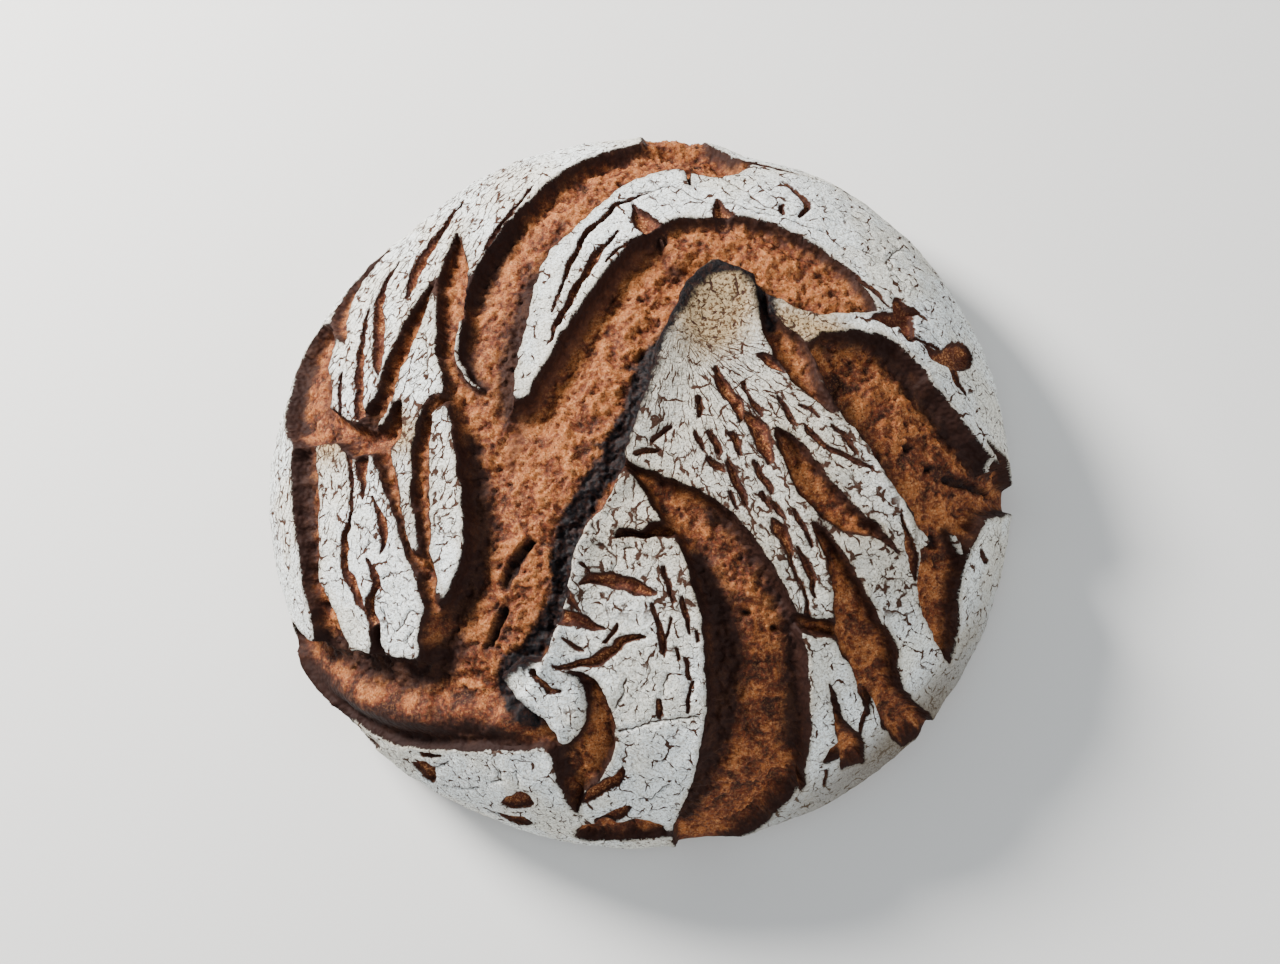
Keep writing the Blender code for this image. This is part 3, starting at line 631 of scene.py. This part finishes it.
# Moves a unit ball's points onto the loaf: its lower cap becomes the flat base
def crustPoints(ball):
    length, radius, height = domeProfile()
    tilt = np.arccos(np.clip(ball[:, 2], -1, 1))
    angle = np.arctan2(ball[:, 1], ball[:, 0])
    onCrust = tilt <= dome["footAngle"]
    reach = np.where(onCrust, length[-1] * tilt / dome["footAngle"], length[-1])
    ring = np.interp(reach, length, radius)
    level = np.interp(reach, length, height)
    outward = -np.interp(reach, length, np.gradient(height, length))
    upward = np.interp(reach, length, np.gradient(radius, length))

    right = reach * 1000 * np.cos(angle)
    up = reach * 1000 * np.sin(angle)
    rise, fields, patterns = crustFields(right, up)
    rise = (rise + relief["waveHeight"] * slowWaves(right, up)) / 1000
    rise *= smoothStep(level * 1000, relief["fadeLow"], relief["fadeHigh"])

    outline = 1 + dome["oval"] * np.cos(2 * angle)
    for toward, spread, share in dome["dents"]:
        turn = np.angle(np.exp(1j * (angle - math.radians(toward))))
        outline += share * np.exp(-(turn / math.radians(spread)) ** 2)
    skirtAndPaintedShade = dome["skirtAndPaintedShade"]
    turn = np.angle(np.exp(1j * (angle - math.radians(skirtAndPaintedShade["toward"]))))
    facing = np.exp(-(turn / math.radians(skirtAndPaintedShade["spread"])) ** 2)
    outline += skirtAndPaintedShade["share"] * (1 - smoothStep(level, skirtAndPaintedShade["low"], skirtAndPaintedShade["high"])) * facing
    # Painted shade: the low crust facing the lower right is tinted darker, where the key light does not reach
    fields["skirtAndPaintedShade"] = facing * (1 - smoothStep(level, skirtAndPaintedShade["paintedShadeLow"], skirtAndPaintedShade["paintedShadeHigh"]))
    fields["under"] = 1 - smoothStep(level, 0.0, dome["brownedFoot"])

    ring = (ring + outward * rise) * outline
    level = np.where(onCrust, level + upward * rise, 0)
    ring *= np.where(onCrust, 1, (math.pi - tilt) / (math.pi - dome["footAngle"]))
    return np.column_stack([ring * np.cos(angle), ring * np.sin(angle), level]), fields, patterns


# The whole loaf in one fine closed mesh, with what its finish reads as attributes
def makeLoaf():
    bpy.ops.object.select_all(action="DESELECT")
    levels = dome["ballLevels"]
    bpy.ops.mesh.primitive_ico_sphere_add(subdivisions=levels, radius=1)
    loaf = bpy.context.object
    loaf.name = "floured_loaf"
    mesh = loaf.data
    mesh.name = "floured_loaf"
    for layer in list(mesh.uv_layers):
        mesh.uv_layers.remove(layer)
    ball = np.empty(len(mesh.vertices) * 3)
    mesh.vertices.foreach_get("co", ball)
    ball = ball.reshape(-1, 3)
    ball /= np.linalg.norm(ball, axis=1)[:, None]
    points, fields, patterns = crustPoints(ball)
    middle = (points.min(axis=0) + points.max(axis=0)) / 2
    points[:, :2] -= middle[:2]
    points = fitInside(points)
    mesh.vertices.foreach_set("co", points.ravel())
    for name, values in fields.items():
        mesh.attributes.new(name, "FLOAT", "POINT").data.foreach_set("value", values.astype(np.float32))
    for name, values in patterns.items():
        layer = mesh.attributes.new(name, "FLOAT_VECTOR", "POINT")
        layer.data.foreach_set("vector", values.astype(np.float32).ravel())
    mesh.update()
    print("crust shaped:", len(mesh.polygons), "faces")

    thinner = loaf.modifiers.new("Thin out", "DECIMATE")
    thinner.ratio = dome["triangles"] / len(mesh.polygons)
    bpy.ops.object.modifier_apply(modifier=thinner.name)
    bpy.ops.object.shade_smooth()
    print("crust thinned:", len(loaf.data.polygons), "faces")
    return loaf, middle


# The fine lumps may reach a little past the solid, so the loaf is drawn in to the solid's box
def fitInside(points):
    low = np.array(cadBox[0])
    high = np.array(cadBox[1])
    low[2] = max(low[2], 0)
    spare = 0.0001
    ownLow = points.min(axis=0)
    ownHigh = points.max(axis=0)
    scale = np.minimum((high - low - spare) / (ownHigh - ownLow), 1)
    centre = (low + high) / 2
    points = points * scale
    points[:, :2] += centre[:2] - (points.min(axis=0) + points.max(axis=0))[:2] / 2
    return points


# A colour as it is seen, from 0 to 255, turned into the shader's own scale
def tint(*seen):
    parts = [part / 255 for part in seen]
    return [*(part / 12.92 if part < 0.0405 else ((part + 0.055) / 1.055) ** 2.4 for part in parts), 1]


def addNode(tree, kind, inputs=None, **settings):
    node = tree.nodes.new(kind)
    for name, value in settings.items():
        setattr(node, name, value)
    for name, value in (inputs or {}).items():
        if isinstance(value, bpy.types.NodeSocket):
            tree.links.new(value, node.inputs[name])
        else:
            node.inputs[name].default_value = value
    return node


def addMath(tree, operation, first, second=0.0):
    return addNode(tree, "ShaderNodeMath", {0: first, 1: second}, operation=operation).outputs[0]


def addRamp(tree, value, low, high, fromShare=0.0, toShare=1.0):
    inputs = {"Value": value, "From Min": low, "From Max": high, "To Min": fromShare, "To Max": toShare}
    return addNode(tree, "ShaderNodeMapRange", inputs, interpolation_type="SMOOTHSTEP").outputs["Result"]


def addBlend(tree, share, first, second):
    return addNode(tree, "ShaderNodeMix", {0: share, 6: first, 7: second}, data_type="RGBA").outputs[2]


# Random lumps of one size in millimetres, from 0 to 1
def addLumps(tree, place, size, detail=3.0, rough=0.55, warp=0.0):
    inputs = {"Vector": place, "Scale": 1 / size, "Detail": detail, "Roughness": rough, "Distortion": warp}
    return addNode(tree, "ShaderNodeTexNoise", inputs).outputs["Fac"]


# Broken cracks between flat random cells of one size in millimetres: 1 in a crack, 0 off it.
# They widen to about the given width where lumps of their own size are high, and end where those are low.
def addCracks(tree, place, size, width, share):
    inputs = {"Vector": place, "Scale": 1 / size, "Randomness": 1.0}
    cells = addNode(tree, "ShaderNodeTexVoronoi", inputs, voronoi_dimensions="2D", feature="DISTANCE_TO_EDGE")
    gap = addMath(tree, "MULTIPLY", cells.outputs["Distance"], size)
    breaks = addMath(tree, "SUBTRACT", addLumps(tree, place, size * 0.55, 2.0), 1 - share)
    opened = addMath(tree, "MINIMUM", addMath(tree, "MULTIPLY", breaks, 5 * width), width)
    return addRamp(tree, addMath(tree, "SUBTRACT", gap, opened), -0.08, 0.12, 1.0, 0.0)


# Colours of the crust, from the photograph
crustTints = {
    "flour": tint(250, 255, 253),
    "flourCream": tint(243, 241, 229),
    "flourThin": tint(160, 147, 126),
    "fanFlour": tint(216, 207, 187),
    "toasted": tint(182, 154, 112),
    "toastedDark": tint(88, 62, 42),
    "hairline": tint(70, 48, 38),
    # Crumb colour in the slits, darkened with painted shade for their shaded floors
    "slit": tint(84, 42, 30),
    # Painted shade along the slit edges and walls
    "slitEdgeShade": tint(58, 34, 28),
    "crumbTan": tint(160, 95, 51),
    "crumbRed": tint(104, 51, 31),
    "crumbDark": tint(46, 25, 20),
    # Light grains of the crumb, also standing in as painted glints
    "crumbGrainAndGlint": tint(192, 132, 84),
    # Browning and painted shade on the crumb close to a plate's edge, where the wall lies under the plate
    "bandEdgeBrownAndShade": tint(64, 36, 26),
    # Browned crumb, also laid as painted shade on shaded tear walls
    "brownedAndShaded": tint(76, 43, 30),
    # Burnt crust, also laid as painted shade on the dark tear walls
    "burntAndShade": tint(38, 22, 18),
    # Black of the burnt ear, also painted into the deep pits as shade
    "char": tint(17, 14, 16),
    # Painted shade on the flour of the low skirt
    "skirtAndPaintedShade": tint(96, 84, 70),
    "base": tint(134, 92, 58),
    "baseDark": tint(86, 54, 36),
}

# Patterns of the crust's finish, in millimetres
finish = {
    "lumps": {  # size, detail, roughness and warp
        "rags": (1.6, 4.0, 0.65),
        "patches": (15.0, 2.0),
        "cream": (26.0, 2.0),
        "speckle": (0.75, 3.0, 0.7),
        "specks": (0.6, 3.0, 0.7),
        "toastGrain": (1.1, 4.0, 0.7),
        "crumb": (5.0, 4.0, 0.6),
        "pores": (1.5, 4.0, 0.65),
        "blotches": (9.0, 5.0, 0.65, 1.0),
        "drift": (3.5, 5.0, 0.7),
        "flourGrain": (0.9, 4.0, 0.7),
        "flour": (2.6, 3.0, 0.6),
    },
    "wideLines": (7.5, 0.55, 0.54),  # size of the cells, width of a hairline and share that is open
    "smallLines": (3.4, 0.34, 0.51),
    "strandLines": (2.5, 0.3, 0.56),
    "wanderSize": 4.0,
    "chartWander": (5, 5, 0),
    "strandWander": (3.5, 1, 0),
    "ragReach": 0.9,
    "slitRags": 0.6,
    "rimRags": 1.4,
    "driftReach": 4.5,
    "charDrift": 0.55,
    # crumbShadeAndBrowning turns the crumb's relief into painted shade in its hollows and painted light on
    # its rises, along with its browning; poreShade is painted shade in the pores
    "crumbShadeAndBrowning": 0.75,  # how much relief, blotches and pores change the crumb's tone
    "blotchTone": 6.5,
    "poreShade": 4.0,
    "toneMiddle": 0.52,
    "covers": {  # how much each coat hides what is under it
        "fanFlour": 0.75, "thinFlour": 0.6, "wornFlour": 0.5, "toasted": 0.95, "slit": 0.75, "specks": 0.85,
        "bandEdgeBrownAndShade": 0.85, "brownedAndShaded": 0.85, "burntAndShade": 0.94, "rim": 0.85, "pit": 0.9,
    },
    "dullness": 0.93,
    "crumbGloss": 0.25,
    "charGloss": 0.35,
    "specular": 0.1,
    "bumpStrength": 0.8,
    "bumpDistance": 0.001,  # in metres
}


def finishCrust(loaf):
    material = bpy.data.materials.new("floured_crust")
    material.use_nodes = True
    tree = material.node_tree
    shader = tree.nodes["Principled BSDF"]
    metres = addNode(tree, "ShaderNodeTexCoord").outputs["Object"]
    inputs = {"Vector": metres, "Scale": (1000, 1000, 1000)}
    place = addNode(tree, "ShaderNodeMapping", inputs).outputs["Vector"]
    covers = finish["covers"]
    plus, minus, times, highest = [partial(addMath, tree, operation)
                                   for operation in ("ADD", "SUBTRACT", "MULTIPLY", "MAXIMUM")]
    ramp = partial(addRamp, tree)

    def read(name, output="Fac"):
        return addNode(tree, "ShaderNodeAttribute", attribute_name=name).outputs[output]

    def lumpy(name):
        return addLumps(tree, place, *finish["lumps"][name])

    def coat(below, share, name):
        return addBlend(tree, share, below, crustTints[name])

    # Where the flour lies: off the tears, slits and cracks, with a ragged edge
    edge = read("edge")
    inFan = read("inFan")
    rags = minus(times(lumpy("rags"), 2 * finish["ragReach"]), finish["ragReach"])
    raggedEdge = minus(edge, addMath(tree, "ABSOLUTE", rags))
    onPlate = ramp(raggedEdge, -0.1, 0.2)
    raggedSlit = plus(times(rags, finish["slitRags"]), read("slit"))
    inSlit = ramp(raggedSlit, -0.25, 0.15, 1.0, 0.0)
    inCrack = ramp(read("crack"), 0.1, 0.45, 1.0, 0.0)

    # Hairlines: wide cells in patches, small cells between, and long ones that run with the torn strands
    inputs = {"Vector": place, "Scale": 1 / finish["wanderSize"], "Detail": 3.0}
    wander = addNode(tree, "ShaderNodeTexNoise", inputs).outputs["Color"]

    def wandering(pattern, reach):
        inputs = {0: wander, 1: reach, 2: read(pattern, "Vector")}
        return addNode(tree, "ShaderNodeVectorMath", inputs, operation="MULTIPLY_ADD").outputs[0]

    chart = wandering("chart", finish["chartWander"])
    strands = wandering("strands", finish["strandWander"])
    patches = lumpy("patches")
    wideLines = times(addCracks(tree, chart, *finish["wideLines"]), ramp(patches, 0.4, 0.48))
    smallLines = times(addCracks(tree, chart, *finish["smallLines"]), ramp(patches, 0.58, 0.48))
    strandLines = addCracks(tree, strands, *finish["strandLines"])
    strandLines = times(strandLines, ramp(read("inStrands"), 0.2, 0.5))
    hairlines = highest(highest(highest(wideLines, smallLines), strandLines), inCrack)

    # Flour colour: cool white to cream, speckled where it is thin, with painted shade along the slit edges
    # and on the low skirt at the lower right
    speckle = lumpy("speckle")
    specks = ramp(lumpy("specks"), 0.54, 0.64)
    toast = read("toast")
    flour = addBlend(tree, ramp(lumpy("cream"), 0.42, 0.6), crustTints["flour"], crustTints["flourCream"])
    flour = coat(flour, times(inFan, covers["fanFlour"]), "fanFlour")
    flour = coat(flour, times(ramp(speckle, 0.46, 0.6), covers["thinFlour"]), "flourThin")
    flour = coat(flour, times(specks, ramp(inFan, 0.0, 1.0, 0.6, 0.9)), "hairline")
    flour = coat(flour, times(ramp(raggedEdge, 2.2, 0.2), covers["wornFlour"]), "flourThin")
    flour = coat(flour, times(toast, covers["toasted"]), "toasted")
    flour = coat(flour, times(toast, ramp(lumpy("toastGrain"), 0.48, 0.58)), "toastedDark")
    flour = coat(flour, hairlines, "hairline")
    # Painted shade: a dark line on the flour right at each slit's edge
    flour = coat(flour, ramp(raggedSlit, 0.55, 0.0), "slitEdgeShade")
    # Painted shade on the low skirt flour that faces away from the light
    flour = coat(flour, times(read("skirtAndPaintedShade"), ramp(speckle, 0.4, 0.6, 1.0, 0.75)), "skirtAndPaintedShade")

    # Crumb colour in the tears: tan to red-brown, with dark pores and light grains. Its tone follows the
    # crumb's relief: low crumb and pores are darkened as painted shade, raised crumb is lightened as painted
    # light
    pores = lumpy("pores")
    # Painted shade and light from the relief, random blotches, and painted shade in the pores
    toneWithReliefShade = times(read("crumb"), finish["crumbShadeAndBrowning"])
    for spots, reach in ((lumpy("blotches"), finish["blotchTone"]), (pores, finish["poreShade"])):
        toneWithReliefShade = plus(toneWithReliefShade, times(minus(finish["toneMiddle"], spots), reach))
    crumb = addBlend(tree, ramp(toneWithReliefShade, -1.3, 0.0), crustTints["crumbDark"], crustTints["crumbRed"])
    crumb = coat(crumb, ramp(toneWithReliefShade, -0.3, 1.0), "crumbTan")
    # Slit floors: red-brown crumb darkened with painted shade
    crumb = coat(crumb, times(inSlit, covers["slit"]), "slit")
    # Light grains, more on raised crumb, also serve as painted glints
    crumb = coat(crumb, times(ramp(speckle, 0.5, 0.6), ramp(toneWithReliefShade, -1.1, 0.7, 0.2, 0.9)), "crumbGrainAndGlint")
    crumb = coat(crumb, times(specks, covers["specks"]), "crumbDark")
    # Painted shade on the slit walls, darkest near the edge
    crumb = coat(crumb, times(inSlit, ramp(raggedSlit, -1.2, -0.2)), "slitEdgeShade")

    # Dark edges of the tears: browned and painted shade along the walls, burnt and painted shade along the
    # strokes for it, and burnt at the rims
    offPlate = ramp(edge, 0.9, 0.5)
    drift = minus(times(lumpy("drift"), 2 * finish["driftReach"]), finish["driftReach"])
    # Painted shade mixed with browning: the crumb is darkened within a few millimetres of each plate's edge
    nearEdgeBrownAndShade = times(ramp(plus(edge, drift), -4.5, 0.5), offPlate)
    # Browning and painted shade along the given strokes
    brownAndShade = ramp(plus(read("brownAndShade"), drift), 3.0, -3.0)
    # Burning and painted shade along the given strokes
    burnAndShade = times(ramp(plus(read("burnAndShade"), drift), 3.5, -2.5), offPlate)
    rim = times(ramp(plus(edge, times(rags, finish["rimRags"])), -2.2, -0.3), offPlate)
    # These coats lay browning, burning and painted shade on the tear edges
    crumb = coat(crumb, times(nearEdgeBrownAndShade, covers["bandEdgeBrownAndShade"]), "bandEdgeBrownAndShade")
    crumb = coat(crumb, times(brownAndShade, covers["brownedAndShaded"]), "brownedAndShaded")
    crumb = coat(crumb, times(burnAndShade, covers["burntAndShade"]), "burntAndShade")
    crumb = coat(crumb, times(rim, covers["rim"]), "burntAndShade")

    # All together: flour over crumb, then the black ear, the pits painted black as shade, and the base
    flourCover = times(onPlate, minus(1.0, inSlit))
    charEdge = plus(rags, times(drift, finish["charDrift"]))
    char = ramp(plus(read("char"), charEdge), 1.5, -1.5)
    charTint = addBlend(tree, ramp(pores, 0.45, 0.6), crustTints["char"], crustTints["burntAndShade"])
    crumbLumps = lumpy("crumb")
    base = addBlend(tree, ramp(crumbLumps, 0.4, 0.62), crustTints["base"], crustTints["baseDark"])
    atFoot = plus(read("under"), minus(times(crumbLumps, 0.8), 0.4))
    colour = addBlend(tree, flourCover, crumb, flour)
    colour = addBlend(tree, char, colour, charTint)
    # Painted shade: the deep pits are painted char black
    colour = coat(colour, times(read("pit"), covers["pit"]), "char")
    colour = addBlend(tree, ramp(atFoot, 0.35, 0.75), colour, base)
    tree.links.new(colour, shader.inputs["Base Color"])

    # Gloss: dry flour is dull, baked crumb and burnt edges catch a little light
    crumbGloss = times(minus(1.0, flourCover), finish["crumbGloss"])
    gloss = highest(crumbGloss, times(char, finish["charGloss"]))
    tree.links.new(minus(finish["dullness"], gloss), shader.inputs["Roughness"])
    shader.inputs["Specular IOR Level"].default_value = finish["specular"]

    # Fine relief in millimetres
    flourHeight = plus(times(lumpy("flourGrain"), 0.8), lumpy("flour"))
    flourHeight = minus(flourHeight, times(hairlines, 0.4))
    crumbHeight = plus(times(pores, -1.5), speckle)
    height = addNode(tree, "ShaderNodeMix", {0: flourCover, 2: crumbHeight, 3: flourHeight}).outputs[0]
    inputs = {"Strength": finish["bumpStrength"], "Distance": finish["bumpDistance"], "Height": height}
    tree.links.new(addNode(tree, "ShaderNodeBump", inputs).outputs["Normal"], shader.inputs["Normal"])
    loaf.data.materials.clear()
    loaf.data.materials.append(material)


# Camera: how far it leans from straight above and toward where, in degrees, and what it looks at
camera = {"lean": 18, "toward": -56, "distance": 0.58, "lens": 50, "target": (0.005, -0.0035, 0.028)}


def placeCamera(middle):
    lean = math.radians(camera["lean"])
    toward = math.radians(camera["toward"])
    back = Vector((math.sin(lean) * math.cos(toward), math.sin(lean) * math.sin(toward), math.cos(lean)))
    right = Vector((0, 1, 0)).cross(back).normalized()
    trueUp = back.cross(right)
    target = Vector(camera["target"]) - Vector((middle[0], middle[1], 0))
    data = bpy.data.cameras.new("camera")
    data.lens = camera["lens"]
    data.sensor_width = 36
    data.clip_start = 0.01
    eye = bpy.data.objects.new("camera", data)
    turn = Matrix((right, trueUp, back)).transposed().to_4x4()
    eye.matrix_world = Matrix.Translation(target + back * camera["distance"]) @ turn
    bpy.context.scene.collection.objects.link(eye)
    bpy.context.scene.camera = eye


# Pale floor and soft studio lights. A light's name, place, size, power and colour; each one faces the loaf
studio = {
    "floor": tint(226, 224, 220),
    "floorSize": 6,
    "floorRoughness": 0.9,
    "aim": (0, 0, 0.03),
    "world": (0.86, 0.92, 1.0),
    "worldStrength": 0.5,
    "lights": [
        ("key", (-0.66, 0.56, 0.66), 0.36, 37.5, (1.0, 0.985, 0.965)),
        ("fill", (0.7, -0.6, 0.7), 0.9, 7.0, (0.92, 0.97, 1.0)),
    ],
}


def setStudio():
    bpy.ops.object.select_all(action="DESELECT")
    bpy.ops.mesh.primitive_plane_add(size=studio["floorSize"])
    floor = bpy.context.object
    floor.name = "floor"
    material = bpy.data.materials.new("floor")
    material.use_nodes = True
    shader = material.node_tree.nodes["Principled BSDF"]
    shader.inputs["Base Color"].default_value = studio["floor"]
    shader.inputs["Roughness"].default_value = studio["floorRoughness"]
    floor.data.materials.append(material)
    for name, place, size, power, colour in studio["lights"]:
        data = bpy.data.lights.new(name, "AREA")
        data.shape = "DISK"
        data.size = size
        data.energy = power
        data.color = colour
        light = bpy.data.objects.new(name, data)
        light.location = place
        aim = Vector(studio["aim"]) - Vector(place)
        light.rotation_euler = aim.to_track_quat("-Z", "Y").to_euler()
        bpy.context.scene.collection.objects.link(light)
    world = bpy.data.worlds.new("studio")
    world.use_nodes = True
    sky = world.node_tree.nodes["Background"]
    sky.inputs["Color"].default_value = (*studio["world"], 1)
    sky.inputs["Strength"].default_value = studio["worldStrength"]
    bpy.context.scene.world = world


loaf, middle = makeLoaf()
finishCrust(loaf)
print("crust finished")
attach(loaf, "root")
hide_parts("loaf")
placeCamera(middle)
setStudio()
print("studio set")
